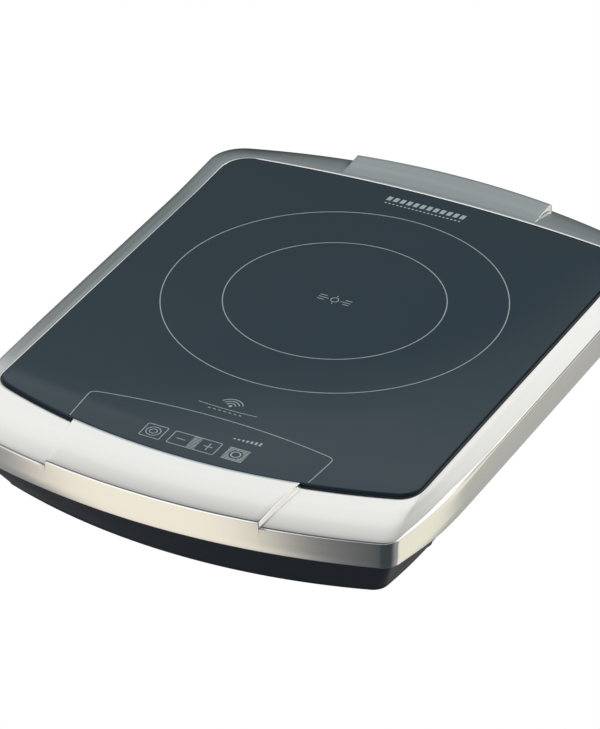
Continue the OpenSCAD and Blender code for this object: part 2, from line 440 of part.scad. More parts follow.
module fan_bearing() { color([0.74, 0.60, 0.32]) at_fan() difference() { cyl(0, 0, fan_z + 6, fan_z + 21.5, 4); cyl(0, 0, fan_z + 5, fan_z + 22, shaft_r + shaft_fit); } }
module fan_stator() {
  color([0.70, 0.42, 0.22]) at_fan() difference() {
    union() { cyl(0, 0, fan_z + 12, fan_z + 16, 13.6); for (a = [0:90:270]) rotate(a + 45) rbox(5, 11.5, -4, 4, fan_z + 9, fan_z + 19); }
    cyl(0, 0, fan_z + 5, fan_z + 22, 5.4);
    for (a = [0:90:270]) rotate(a) rbox(7.5, 14, -1.6, 1.6, fan_z + 5, fan_z + 22);
  }
}
module fan_screws() { color([0.25, 0.25, 0.26]) for (p = fan_post) union() { cyl(p[0], p[1], fan_z + 25, fan_z + 27, 3.4); cyl(p[0], p[1], 4.6, fan_z + 25.2, 1.8); } }
module air_duct() {
  color([0.18, 0.19, 0.21]) difference() {
    rbox(fan_c[0] - 41.5, 10.5, fan_c[1] - 41.5, fan_c[1] + 41.5, fan_z + 18, 46.6);
    rbox(fan_c[0] - 40, 12, fan_c[1] - 40, fan_c[1] + 40, fan_z + 17, 45.1);
    rbox(-7, 12, fan_c[1] - 60, fan_c[1] + 60, fan_z + 17, fan_z + 25);
  }
}

// ---- touch controls ----
key_x = [-28.3, -9.2, 10.2, 29.5];
key_y = zone_y - 191;
tb_z = 52.4;
module touch_board() { color([0.12, 0.30, 0.20]) difference() { rbox(-60, 60, -164, -128, tb_z, tb_z + 1.6); for (x = [-55, 55]) cyl(x, -133, tb_z - 1, tb_z + 3, 1.6); } }
module touch_springs() {
  z0 = tb_z + 1.6; h = glass_z - glass_t - z0;
  color([0.80, 0.76, 0.60]) for (x = key_x) translate([x, key_y, z0]) rotate_extrude()
    polygon(concat([for (i = [0:10]) [i % 2 == 0 ? 4.5 : 3.6, h * i / 10]], [for (i = [10:-1:0]) [i % 2 == 0 ? 3.9 : 3.0, h * i / 10]]));
}
module light_guide() { color([0.85, 0.88, 0.90]) rbox(-2.2, 3.2, key_y - 6.5, key_y + 6.5, tb_z + 3.2, glass_z - glass_t); }
module display_leds() { color([0.80, 0.15, 0.12]) { rbox(-1.8, 2.8, key_y - 6, key_y + 6, tb_z + 1.6, tb_z + 3.2); rbox(44, 47, key_y - 2, key_y + 2, tb_z + 1.6, tb_z + 3.2); } }
module control_chip() { color([0.10, 0.10, 0.11]) union() { rbox(-20, -8, -144, -132, tb_z + 1.8, tb_z + 3.4); for (s = [0:3]) translate([-14, -138, 0]) rotate(s * 90) for (k = [-4:4]) rbox(k * 1.2 - 0.25, k * 1.2 + 0.25, 5.8, 7.4, tb_z + 1.6, tb_z + 2.2); } }
module buzzer() { color([0.12, 0.12, 0.13]) difference() { cyl(-46, -142, tb_z + 1.6, tb_z + 9.1, 6); cyl(-46, -142, tb_z + 7, tb_z + 10, 1.3); } }
module touch_bracket() {
  color([0.85, 0.85, 0.83]) difference() {
    union() {
      rbox(-68, 68, -164, -111, 49, 51);
      for (x = [-58.5, 57]) rbox(x, x + 1.5, -162, -128, 50, tb_z);
      for (x = [-55, 55]) cyl(x, -133, 50, tb_z, 3.4);
      for (y = [-112.5, -164]) rbox(-68, 68, y, y + 1.5, 46, 50);
    }
    for (p = touch_post) cyl(p[0], p[1], 48, 52, 1.8);
    for (x = [-55, 55]) cyl(x, -133, 48, tb_z + 1, 1.3);
    rbox(-40, 40, -156, -126, 48, 52);
  }
}
module bracket_screws() { color([0.70, 0.71, 0.72]) { for (p = touch_post) pan_screw(p[0], p[1], 51, 11, 1.25); for (x = [-55, 55]) pan_screw(x, -133, tb_z + 1.6, 4.8, 1.25, 1.5); } }
module ribbon_cable() {
  color([0.75, 0.75, 0.76]) union() {
    rbox(36, 46, -136, -131, tb_z + 1.6, tb_z + 5.6);
    rbox(36, 46, -131.5, -108.2, tb_z + 3.6, tb_z + 4.4);
    rbox(36, 46, -109, -108.2, top_z + 3, tb_z + 4.4);
    rbox(36, 46, -109, -60.5, top_z + 3, top_z + 3.8);
  }
}

glass_plate();
glass_seal();
steel_frame();
frame_brackets();
base_housing();
base_screws();
rubber_feet();
cord_gland();
gland_nut();
mica_sheet();
induction_coil();
coil_carrier();
ferrite_bars();
shield_plate();
shield_screws();
carrier_screws();
thermistor_holder();
thermistor();
coil_leads();
sensor_lead();
power_board();
board_screws();
heatsink();
igbt_pair();
bridge_rectifier();
heatsink_screws();
resonant_capacitor();
bus_capacitor();
interference_capacitor();
smoothing_capacitors();
filter_choke();
choke_core();
common_mode_choke();
aux_transformer();
current_transformer();
fuse();
fuse_clips();
varistor();
terminal_block();
board_headers();
earth_wire();
earth_screw();
fan_frame();
fan_impeller();
fan_magnet();
fan_shaft();
fan_bearing();
fan_stator();
fan_screws();
fan_lead();
air_duct();
touch_board();
touch_springs();
light_guide();
display_leds();
control_chip();
buzzer();
touch_bracket();
bracket_screws();
ribbon_cable();
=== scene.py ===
import json
import math

import bpy
import bmesh
import numpy as np
from mathutils import Matrix, Vector


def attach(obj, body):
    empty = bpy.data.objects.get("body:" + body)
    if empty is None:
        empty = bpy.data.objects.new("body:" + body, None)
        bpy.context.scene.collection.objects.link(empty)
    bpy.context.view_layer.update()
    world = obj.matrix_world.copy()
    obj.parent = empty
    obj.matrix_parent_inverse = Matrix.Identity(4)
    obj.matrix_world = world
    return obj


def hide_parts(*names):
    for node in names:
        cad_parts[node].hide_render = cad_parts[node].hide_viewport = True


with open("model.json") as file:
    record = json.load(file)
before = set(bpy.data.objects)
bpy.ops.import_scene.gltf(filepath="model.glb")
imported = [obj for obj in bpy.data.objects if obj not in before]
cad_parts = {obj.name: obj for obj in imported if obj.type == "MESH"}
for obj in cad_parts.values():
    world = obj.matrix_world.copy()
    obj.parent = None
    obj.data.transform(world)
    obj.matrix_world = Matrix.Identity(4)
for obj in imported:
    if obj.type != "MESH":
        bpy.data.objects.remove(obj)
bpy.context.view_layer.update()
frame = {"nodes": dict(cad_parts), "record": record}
MM = 0.001
BODY = "housing"

# ---------------------------------------------------------------- plan outlines (mm, same construction as the CAD)
# half width, front apex, front radius, rear apex, rear radius, front corner, rear corner, side bend y, side bend radius
GL = (145.9, 172.4, 400.0, 184.0, 900.0, 15.0, 20.0, -120.0, 90000.0)
BD = (162.6, 216.9, 470.0, 216.9, 440.0, 13.0, 26.0, -104.0, 460.0)
BS = (137.0, 184.8, 386.0, 185.5, 380.0, 11.0, 14.0, -100.0, 460.0)
GZ = 67.5
LEDGE = 62.5
JOINT = 1.3
DROP = 24.5
SIDE_DROP = 3.4
CREST = 6.1
SHEET = 1.2
PAD_F, PAD_B = 74.0, 72.0
# section of a pad's end step: place across the step, height left (rounded top edge, steep wall, small foot radius)
STEP_T = (0.0, 0.16, 0.33, 0.455, 0.545, 0.6, 0.7, 0.8, 0.87, 1.0)
STEP_V = (1.0, 0.994, 0.973, 0.943, 0.908, 0.874, 0.50, 0.13, 0.03, 0.0)


def smooth(u):
    u = min(1.0, max(0.0, u))
    return u * u * (3 - 2 * u)


def cross2(c1, r1, c2, r2):
    d = (c2[0] - c1[0], c2[1] - c1[1])
    L = math.hypot(*d)
    a = (L * L + r1 * r1 - r2 * r2) / (2 * L)
    h = math.sqrt(max(0.0, r1 * r1 - a * a))
    e = (d[0] / L, d[1] / L)
    return (c1[0] + a * e[0] - h * e[1], c1[1] + a * e[1] + h * e[0])


def span(a, b, n):
    return [a + (b - a) * i / n for i in range(n + 1)]


def half(P, d, xf, xb, e=0.4, qa=18, qe=14, qc=14, ql=24, qt=12):
    """Right half of an outline set in by d, from the front middle to the rear middle."""
    cf, Rf = (0.0, -P[1] + P[2]), P[2] - d
    cb, Rb = (0.0, P[3] - P[4]), P[4] - d
    cs, Rs = (P[0] - P[8], P[7]), P[8] - d
    rf, rb = max(0.6, P[5] - d), max(0.6, P[6] - d)
    vf = cross2(cf, Rf - rf, cs, Rs - rf)
    xe = P[0] - d - rb
    vb = (xe, cb[1] + math.sqrt((Rb - rb) ** 2 - xe * xe))
    a1 = math.atan2(vf[1] - cf[1], vf[0] - cf[0])
    a2 = math.atan2(vf[1] - cs[1], vf[0] - cs[0])
    b2 = math.atan2(vb[1] - cb[1], vb[0] - cb[0])
    xa, xc = cf[0] + Rf * math.cos(a1), cb[0] + Rb * math.cos(b2)
    fx = span(0, xf - e, qa) + [xf - e + 2 * e * t for t in STEP_T[1:]] + span(xf + e, xa, qe)[1:]
    bx = span(xc, xb + e, qe) + [xb - e + 2 * e * t for t in STEP_T[-2::-1]] + span(xb - e, 0, qa)[1:]
    out = [(x, cf[1] - math.sqrt(Rf * Rf - x * x)) for x in fx]
    out += [(vf[0] + rf * math.cos(a1 + (a2 - a1) * i / qc), vf[1] + rf * math.sin(a1 + (a2 - a1) * i / qc)) for i in range(1, qc)]
    out += [(cs[0] + Rs * math.cos(a2 * (1 - i / qt)), cs[1] + Rs * math.sin(a2 * (1 - i / qt))) for i in range(0, qt + 1)]
    out += [(P[0] - d, P[7] + (vb[1] - P[7]) * i / ql) for i in range(1, ql)]
    out += [(vb[0] + rb * math.cos(b2 * i / qc), vb[1] + rb * math.sin(b2 * i / qc)) for i in range(0, qc)]
    out += [(x, cb[1] + math.sqrt(Rb * Rb - x * x)) for x in bx]
    return out


def loop(P, d, xf=74.0, xb=72.0, e=0.4, **k):
    h = half(P, d, xf, xb, e, **k)
    return np.array(h + [(-x, y) for x, y in h[-2:0:-1]])


def mix(A, B, u):
    return A * (1 - u) + B * u


def rise(y):
    return 2.7 * np.array([smooth((v - 110) / 70) for v in y])


def step_weight(p, w, e, sign):
    """1 on the raised pad, 0 beside it, an S over the pad's end wall."""
    t = (np.abs(p[:, 0]) - (w - e)) / (2 * e)
    s = np.interp(t, STEP_T, STEP_V)
    return np.where(sign * p[:, 1] > 100, s, 0.0)


def lift(p, u, wf, wb, e=0.4):
    return (rise(p[:, 1]) * (0.75 + 0.25 * u) + step_weight(p, wf, e, -1) * (3.3 + 0.1 * u)
            + step_weight(p, wb, e, 1) * 4.6 * u ** 1.8)


def at(l, z):
    z = np.broadcast_to(np.asarray(z, float), (len(l),))
    return np.column_stack([l, z])


E = 0.55


def ring_G(d, s=0.0):
    return loop(GL, d, 79 - s, 71.3 - s, E)


def ring_B(d, s=0.0):
    return loop(BD, d, PAD_F - s, PAD_B - s, E)


def ring_S(u, s=0.0):
    return mix(ring_G(-JOINT - 0.6, s), ring_B(3, s), u)


def lifted(l, z, u, wf, wb):
    return at(l, z + lift(l, u, wf, wb, E))


def frame_loops():
    """The pressed steel frame: ledge under the glass, lip, crowned top, rounded crest, band, and the inner face of the sheet."""
    zc = GZ - CREST
    L = [at(ring_G(7.5), LEDGE), at(ring_G(-JOINT), LEDGE)]
    for d, z in ((0.0, -3.0), (0.06, -2.72), (0.25, -2.42), (0.52, -2.26), (0.8, -2.2)):
        L.append(lifted(ring_G(-JOINT - d), GZ + z, 0, 79, 71.3))
    us = [0.06, 0.14, 0.22, 0.3, 0.42, 0.54, 0.65]
    ku, kz = [0.0, 0.3, 0.65], [-2.25, -3.05, -4.35]
    for u in us:
        z = np.interp(u, ku, kz)
        # a gentle crown between the knots
        z += 0.08 * math.sin(math.pi * min(1, u / 0.65))
        L.append(lifted(ring_S(u), GZ + z, u, 79 - 5 * u, 71.3 + 0.7 * u))
    # from there the sheet runs straight to the crest: a sharp bend, opening to a wider one round the front corners
    S65, B0 = ring_S(0.65), ring_B(0)
    ax, ay = np.abs(B0[:, 0]), -B0[:, 1]
    wide = np.array([smooth((x - 138) / 12) * smooth((y - 55) / 60) * (1 - smooth((y - 178) / 14)) for x, y in zip(ax, ay)])
    r = 0.6 + 2.4 * wide
    run = np.linalg.norm(B0 - S65, axis=1)
    k = 2.55 / run

    def sheet(d, u):
        """A loop d in from the outer edge: a faint crown, then a small shoulder just before the bend."""
        q = 1 - d / run
        z = GZ - 4.35 - 2.55 * q + 0.45 * q * (1 - q) - 0.18 * np.clip(1.6 - d, 0, 1.0) ** 2 * (1 - wide)
        return S65 + (B0 - S65) * q[:, None], z + lift(S65, u, 75.75, 71.755, E)

    for v in (0.2, 0.4, 0.6, 0.8):
        L.append(at(*sheet(1.6 + (1 - v) * (run - 1.6), 0.65 + 0.35 * v)))
    for d in (1.6, 1.3, 1.0, 0.8):
        L.append(at(*sheet(np.maximum(d + 0 * run, r * (1 + 0.1 * d)), 1)))
    p0, z0 = sheet(r, 1)
    slope = k + 0.45 / run + 0.36 * (1 - wide)
    z1 = z0 - slope * r
    z2 = z1 - 0.35 - 0.95 * r
    for i in range(0, 9):
        t = i / 8
        L.append(at(B0 + (p0 - B0) * (1 - t) ** 2, (1 - t) ** 2 * z0 + 2 * t * (1 - t) * z1 + t * t * z2))
    low = GZ - DROP - SIDE_DROP * np.array([smooth((v + 190) / 60) for v in B0[:, 1]])
    hi = L[-1].copy()
    for t in (0.33, 0.66):
        m = hi.copy()
        m[:, 2] = hi[:, 2] * (1 - t) + (low + 0.9) * t
        L.append(m)
    L += [at(ring_B(0), low + 0.6), at(ring_B(0.1), low + 0.25), at(ring_B(0.35), low), at(ring_B(SHEET), low),
          lifted(ring_B(SHEET, 1.2), zc - 3.4, 1, PAD_F - 1.2, PAD_B - 1.2),
          lifted(ring_B(SHEET + 1.4, 1.2), zc - SHEET - 0.9, 1, PAD_F - 1.2, PAD_B - 1.2),
          lifted(ring_B(SHEET + 2.2, 1.2), zc - SHEET - 0.25, 1, PAD_F - 1.2, PAD_B - 1.2),
          lifted(ring_S(0.3, 1.2), GZ - 3.05 - SHEET, 0.3, 77.5 - 1.2, 71.6 - 1.2),
          lifted(ring_G(-JOINT - SHEET - 0.2, 1.2), GZ - 2.3 - SHEET, 0, 79 - 1.2, 71.3 - 1.2),
          at(ring_G(-JOINT - SHEET, 1.2), LEDGE - SHEET), at(ring_G(7.5), LEDGE - SHEET)]
    return L


def glass_loops():
    return [at(loop(GL, d), GZ + z) for d, z in
            ((0.5, -4.0), (0.12, -3.85), (0.0, -3.5), (0.0, -0.7), (0.05, -0.42), (0.2, -0.17), (0.42, -0.04), (0.7, 0.0))]


def seal_loops():
    lo = GZ - 4.0
    return [at(loop(GL, 6.5), LEDGE), at(loop(GL, -2.2), LEDGE), at(loop(GL, -2.2), GZ - 2.55), at(loop(GL, -1.75), GZ - 2.95),
            at(loop(GL, -1.1), GZ - 3.1), at(loop(GL, -0.45), GZ - 2.95), at(loop(GL, 0.0), GZ - 2.6), at(loop(GL, 0.0), lo), at(loop(GL, 6.5), lo)]

# ---------------------------------------------------------------- end of plan outlines


# ---------------------------------------------------------------- mesh helpers
def new_mesh(name, verts, faces, mat=None, sharp=38.0, scale=MM, uv=None):
    me = bpy.data.meshes.new(name)
    me.from_pydata([(v[0] * scale, v[1] * scale, v[2] * scale) for v in verts], [], faces)
    me.validate()
    for p in me.polygons:
        p.use_smooth = True
    me.set_sharp_from_angle(angle=math.radians(sharp))
    if uv is not None:
        layer = me.uv_layers.new(name="UVMap")
        for lp in me.loops:
            layer.data[lp.index].uv = uv[lp.vertex_index]
    o = bpy.data.objects.new(name, me)
    bpy.context.scene.collection.objects.link(o)
    if mat is not None:
        me.materials.append(mat)
    return o


def fix_normals(o):
    bm = bmesh.new()
    bm.from_mesh(o.data)
    bmesh.ops.recalc_face_normals(bm, faces=bm.faces)
    bm.to_mesh(o.data)
    bm.free()


def closed_ring(name, loops, mat, sharp=38.0):
    """Ring whose closed section is the list of loops."""
    m, n = len(loops), len(loops[0])
    V = np.concatenate(loops)
    F = []
    for j in range(m):
        jn = (j + 1) % m
        for i in range(n):
            k = (i + 1) % n
            F.append((j * n + i, j * n + k, jn * n + k, jn * n + i))
    # u runs along the perimeter, v across the section
    P = np.array(loops)
    du = np.linalg.norm(np.diff(np.concatenate([P, P[:, :1]], 1), axis=1), axis=2).mean(0)
    u = np.concatenate([[0], np.cumsum(du)[:-1]]) * MM
    dv = np.linalg.norm(np.diff(P, axis=0), axis=2).mean(1)
    v = np.concatenate([[0], np.cumsum(dv)]) * MM
    uv = [(u[i], v[j]) for j in range(m) for i in range(n)]
    o = new_mesh(name, V, F, mat, sharp, uv=uv)
    fix_normals(o)
    return o


def closed_stack(name, loops, mat, sharp=38.0):
    """Solid of stacked loops, capped at both ends."""
    m, n = len(loops), len(loops[0])
    V = np.concatenate(loops)
    F = [tuple(range(n - 1, -1, -1)), tuple((m - 1) * n + i for i in range(n))]
    for j in range(m - 1):
        for i in range(n):
            k = (i + 1) % n
            F.append((j * n + i, j * n + k, (j + 1) * n + k, (j + 1) * n + i))
    o = new_mesh(name, V, F, mat, sharp)
    fix_normals(o)
    return o


def lathe(name, prof, centre, axis, mat, n=64, sharp=38.0, closed=True):
    """prof: (radius, height) points in mm, turned about the axis through centre."""
    V, F = [], []
    for r, h in prof:
        for i in range(n):
            a = 2 * math.pi * i / n
            c, s = r * math.cos(a), r * math.sin(a)
            if axis == "z":
                V.append((centre[0] + c, centre[1] + s, centre[2] + h))
            else:
                V.append((centre[0] + c, centre[1] + h, centre[2] + s))
    m = len(prof)
    for j in range(m if closed else m - 1):
        jn = (j + 1) % m
        for i in range(n):
            k = (i + 1) % n
            F.append((j * n + i, j * n + k, jn * n + k, jn * n + i))
    if not closed:
        F.append(tuple(range(n - 1, -1, -1)))
        F.append(tuple((m - 1) * n + i for i in range(n)))
    o = new_mesh(name, V, F, mat, sharp)
    fix_normals(o)
    return o


def join_parts(name, objs):
    """Joins several new meshes into one object."""
    bm = bmesh.new()
    mats = []
    for o in objs:
        off = len(mats)
        for mt in o.data.materials:
            mats.append(mt)
        tmp = o.data.copy()
        for p in tmp.polygons:
            p.material_index += off
        bm.from_mesh(tmp)
        bpy.data.meshes.remove(tmp)
    me = bpy.data.meshes.new(name)
    bm.to_mesh(me)
    bm.free()
    seen = []
    remap = {}
    for i, mt in enumerate(mats):
        if mt not in seen:
            seen.append(mt)
        remap[i] = seen.index(mt)
    for mt in seen:
        me.materials.append(mt)
    for p in me.polygons:
        p.material_index = remap.get(p.material_index, 0)
    out = bpy.data.objects.new(name, me)
    bpy.context.scene.collection.objects.link(out)
    for o in objs:
        d = o.data
        bpy.data.objects.remove(o)
        bpy.data.meshes.remove(d)
    return out


def own(o, slot, *nodes):
    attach(o, BODY)
    if nodes:
        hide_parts(*nodes)
    return o


# ---------------------------------------------------------------- node helpers
class Net:
    """Small helper that writes shader maths as nodes."""

    def __init__(self, tree):
        self.t = tree
        self.n = tree.nodes
        self.l = tree.links

    def put(self, kind, **kw):
        nd = self.n.new(kind)
        for k, v in kw.items():
            setattr(nd, k, v)
        return nd

    def wire(self, sock, val):
        if isinstance(val, bpy.types.NodeSocket):
            self.l.new(val, sock)
        elif isinstance(val, (tuple, list)) and len(val) == 3 and sock.type == "RGBA":
            sock.default_value = (*val, 1.0)
        else:
            sock.default_value = val

    def m(self, op, a, b=0.0, c=0.0, clamp=False):
        nd = self.put("ShaderNodeMath", operation=op, use_clamp=clamp)
        self.wire(nd.inputs[0], a)
        if len(nd.inputs) > 1:
            self.wire(nd.inputs[1], b)
        if len(nd.inputs) > 2:
            self.wire(nd.inputs[2], c)
        return nd.outputs[0]

    def ramp(self, v, a, b, lo=0.0, hi=1.0, soft=True):
        nd = self.put("ShaderNodeMapRange", interpolation_type="SMOOTHSTEP" if soft else "LINEAR", clamp=True)
        self.wire(nd.inputs[0], v)
        for i, x in enumerate((a, b, lo, hi)):
            self.wire(nd.inputs[i + 1], x)
        return nd.outputs[0]

    def mixc(self, f, a, b, blend="MIX"):
        nd = self.put("ShaderNodeMix", data_type="RGBA", blend_type=blend)
        self.wire(nd.inputs[0], f)
        self.wire(nd.inputs[6], a)
        self.wire(nd.inputs[7], b)
        return nd.outputs[2]

    def noise(self, vec, scale, detail=2.0, rough=0.5, dist=0.0):
        nd = self.put("ShaderNodeTexNoise")
        self.wire(nd.inputs["Vector"], vec)
        nd.inputs["Scale"].default_value = scale
        nd.inputs["Detail"].default_value = detail
        nd.inputs["Roughness"].default_value = rough
        nd.inputs["Distortion"].default_value = dist
        return nd.outputs[0]

    def scaled(self, vec, sx, sy, sz, rot=(0, 0, 0)):
        nd = self.put("ShaderNodeMapping")
        self.wire(nd.inputs["Vector"], vec)
        nd.inputs["Scale"].default_value = (sx, sy, sz)
        nd.inputs["Rotation"].default_value = rot
        return nd.outputs[0]

    def bump(self, h, strength, dist):
        nd = self.put("ShaderNodeBump")
        nd.inputs["Strength"].default_value = strength
        nd.inputs["Distance"].default_value = dist
        self.wire(nd.inputs["Height"], h)
        return nd.outputs[0]


def base_mat(name):
    mat = bpy.data.materials.new(name)
    mat.use_nodes = True
    t = mat.node_tree
    t.nodes.clear()
    net = Net(t)
    out = net.put("ShaderNodeOutputMaterial")
    b = net.put("ShaderNodeBsdfPrincipled")
    net.l.new(b.outputs[0], out.inputs[0])
    return mat, net, b, out


def surface(name, color, rough, metal=0.0, var=0.12, scale=60.0, grain=900.0, bump=0.15, rough_var=0.06, tint=None, stretch=(1, 1, 1), coat=0.0, spec=None, sheen=0.0):
    """General procedural finish: broad tone drift, fine grain in the bump and a little change of roughness."""
    mat, net, b, _ = base_mat(name)
    tc = net.put("ShaderNodeTexCoord").outputs["Object"]
    v = net.scaled(tc, *stretch)
    broad = net.noise(v, scale, 3.0)
    fine = net.noise(v, grain, 2.0)
    dark = tuple(max(0.0, c * (1 - var)) for c in color)
    lite = tuple(min(1.0, c * (1 + var)) for c in (tint or color))
    mixv = net.ramp(net.m("ADD", net.m("MULTIPLY", broad, 0.7), net.m("MULTIPLY", fine, 0.3)), 0.3, 0.7)
    net.wire(b.inputs["Base Color"], net.mixc(mixv, dark, lite))
    net.wire(b.inputs["Roughness"], net.ramp(broad, 0.3, 0.7, max(0.02, rough - rough_var), min(1.0, rough + rough_var)))
    b.inputs["Metallic"].default_value = metal
    if coat:
        b.inputs["Coat Weight"].default_value = coat
        b.inputs["Coat Roughness"].default_value = 0.08
    if spec is not None:
        b.inputs["Specular IOR Level"].default_value = spec
    if bump:
        net.wire(b.inputs["Normal"], net.bump(fine, bump, 0.0002))
    return mat


# ---------------------------------------------------------------- finishes
def steel_mat():
    """Satin pressed steel. The brush lines follow the frame's own contour (u along it, v across it)."""
    mat, net, b, _ = base_mat("brushed_steel_satin")
    uv = net.put("ShaderNodeUVMap", uv_map="UVMap").outputs[0]
    obj = net.put("ShaderNodeTexCoord").outputs["Object"]
    lines = net.noise(net.scaled(uv, 22.0, 5200.0, 1.0), 1.0, 3.0, 0.65)
    wide = net.noise(net.scaled(uv, 9.0, 700.0, 1.0), 1.0, 2.0, 0.5)
    drift = net.noise(obj, 9.0, 2.0, 0.5)
    tone = net.m("ADD", net.m("MULTIPLY", lines, 0.55), net.m("MULTIPLY", wide, 0.45))
    col = net.mixc(net.ramp(tone, 0.32, 0.68), (0.735, 0.732, 0.722), (0.765, 0.762, 0.752))
    net.wire(b.inputs["Base Color"], net.mixc(net.ramp(drift, 0.3, 0.7, 0.0, 0.35), col, (0.75, 0.745, 0.73)))
    net.wire(b.inputs["Roughness"], net.ramp(tone, 0.3, 0.7, 0.16, 0.20))
    b.inputs["Metallic"].default_value = 1.0
    net.wire(b.inputs["Normal"], net.bump(lines, 0.015, 0.0001))
    return mat


def glass_mat():
    """Dark blue-grey glass ceramic, polished, with a barely visible dimple texture and a few faint wipe marks."""
    mat, net, b, _ = base_mat("glass_ceramic")
    obj = net.put("ShaderNodeTexCoord").outputs["Object"]
    broad = net.noise(obj, 5.0, 2.0, 0.5)
    speck = net.noise(obj, 1400.0, 2.0, 0.6)
    col = net.mixc(net.ramp(broad, 0.3, 0.7), (0.020, 0.037, 0.052), (0.023, 0.041, 0.056))
    net.wire(b.inputs["Base Color"], net.mixc(net.ramp(speck, 0.56, 0.80, 0.0, 0.35), col, (0.036, 0.050, 0.062)))
    wipe = net.noise(net.scaled(obj, 3.0, 26.0, 1.0, (0, 0, 0.5)), 1.0, 4.0, 0.6, 0.6)
    net.wire(b.inputs["Roughness"], net.ramp(wipe, 0.35, 0.75, 0.055, 0.10))
    b.inputs["IOR"].default_value = 1.52
    b.inputs["Specular IOR Level"].default_value = 0.28
    b.inputs["Specular Tint"].default_value = (0.62, 0.86, 1.0, 1.0)
    net.wire(b.inputs["Normal"], net.bump(net.noise(obj, 420.0, 1.0), 0.02, 0.0001))
    return mat


def print_mat():
    mat, net, b, _ = base_mat("enamel_print")
    obj = net.put("ShaderNodeTexCoord").outputs["Object"]
    n = net.noise(obj, 1700.0, 2.0, 0.6)
    net.wire(b.inputs["Base Color"], net.mixc(net.ramp(n, 0.3, 0.7), (0.44, 0.53, 0.56), (0.52, 0.61, 0.64)))
    net.wire(b.inputs["Roughness"], net.ramp(n, 0.3, 0.7, 0.35, 0.5))
    return mat


STEEL = steel_mat()
GLASS = glass_mat()
PRINT = print_mat()
SEAL = surface("silicone_black", (0.0095, 0.011, 0.015), 0.42, var=0.2, scale=40, grain=1500, bump=0.12)
PLASTIC = surface("plastic_navy", (0.020, 0.026, 0.037), 0.46, var=0.10, scale=22, grain=2600, bump=0.22, rough_var=0.05, spec=0.2)
RUBBER = surface("rubber_black", (0.018, 0.018, 0.020), 0.72, var=0.2, scale=90, grain=2200, bump=0.3)

# ---------------------------------------------------------------- outer pieces
steel = closed_ring("steel_frame_pressing", frame_loops(), STEEL, 30)
own(steel, "brushed_steel", "steel_frame")
glass = closed_stack("glass_plate_polished", glass_loops(), GLASS, 30)
own(glass, "cooktop_glass", "glass_plate")
seal = closed_ring("glass_seal_bead", seal_loops(), SEAL, 40)
own(seal, "silicone", "glass_seal")

# ---------------------------------------------------------------- base
FOOT_H, WALL, FLOOR_Z = 2.5, 2.5, 5.0
FAN = (-48.0, 92.0)
SHIELD_POST = [(-100, -52), (100, -52), (-100, 124), (100, 124)]
BOARD_POST = [(-87, -57), (87, -57), (-87, 35), (87, 48), (87, 125.5), (6.5, 125.5)]
FAN_POST = [(FAN[0] + a * 35.5, FAN[1] + b * 35.5) for a in (-1, 1) for b in (-1, 1)]
TOUCH_POST = [(-62, -118), (62, -118)]
BRACKET_Y = (-126, 36, 146)
GLAND_X, GLAND_Z = 70.0, 24.0
FEET = [(-128.5, -100), (128.5, -100), (-128.5, 110), (128.5, 110)]


def ring_base(d):
    return loop(BS, d, 74, 72, 0.4)


def ring_body(d):
    return loop(BD, d, 74, 72, 0.4)


def base_outer():
    L = [at(ring_base(0.8), FOOT_H), at(ring_base(0.42), FOOT_H + 0.12), at(ring_base(0.18), FOOT_H + 0.4), at(ring_base(0.1), FOOT_H + 1.0)]
    for t in (0.25, 0.5, 0.75):
        L.append(mix(at(ring_base(0.1), FOOT_H + 1.0), at(mix(ring_base(0), ring_body(4), 0.56), 25.5), t))
    L.append(at(mix(ring_base(0), ring_body(4), 0.56), 25.5))
    for t in (0.33, 0.66):
        L.append(mix(at(mix(ring_base(0), ring_body(4), 0.56), 25.5), at(ring_body(4), GZ - DROP + 0.4), t))
    L += [at(ring_body(4), GZ - DROP + 0.4), at(ring_body(2.2), GZ - DROP + 1.6), at(ring_body(2.2), 49)]
    return L


def base_inner():
    w = WALL
    return [at(ring_base(4.4), FLOOR_Z), at(ring_base(w + 0.4), FLOOR_Z + 1.8), at(mix(ring_base(w), ring_body(4 + w), 0.56), 25.5),
            at(ring_body(4 + w), GZ - DROP + 1), at(ring_body(2.2 + w), GZ - DROP + 2.6), at(ring_body(2.2 + w), 49)]


def box_mesh(x0, x1, y0, y1, z0, z1, r=0.0):
    V = [(x, y, z) for x in (x0, x1) for y in (y0, y1) for z in (z0, z1)]
    F = [(0, 1, 3, 2), (4, 6, 7, 5), (0, 4, 5, 1), (2, 3, 7, 6), (0, 2, 6, 4), (1, 5, 7, 3)]
    return V, F


def slot_mesh(x0, x1, y0, y1, z0, z1, n=8):
    """Slot with round ends, long in x or in y."""
    pts = []
    if x1 - x0 >= y1 - y0:
        r = (y1 - y0) / 2
        yc = (y0 + y1) / 2
        pts += [(x1 - r + r * math.cos(a), yc + r * math.sin(a)) for a in np.linspace(-math.pi / 2, math.pi / 2, n)]
        pts += [(x0 + r + r * math.cos(a), yc + r * math.sin(a)) for a in np.linspace(math.pi / 2, 1.5 * math.pi, n)]
    else:
        r = (x1 - x0) / 2
        xc = (x0 + x1) / 2
        pts += [(xc + r * math.cos(a), y1 - r + r * math.sin(a)) for a in np.linspace(0, math.pi, n)]
        pts += [(xc + r * math.cos(a), y0 + r + r * math.sin(a)) for a in np.linspace(math.pi, 2 * math.pi, n)]
    return prism(pts, z0, z1)


def prism(pts, z0, z1):
    n = len(pts)
    V = [(p[0], p[1], z0) for p in pts] + [(p[0], p[1], z1) for p in pts]
    F = [tuple(range(n - 1, -1, -1)), tuple(range(n, 2 * n))] + [(i, (i + 1) % n, n + (i + 1) % n, n + i) for i in range(n)]
    return V, F


def disc(x, y, r, n=32):
    return [(x + r * math.cos(2 * math.pi * i / n), y + r * math.sin(2 * math.pi * i / n)) for i in range(n)]


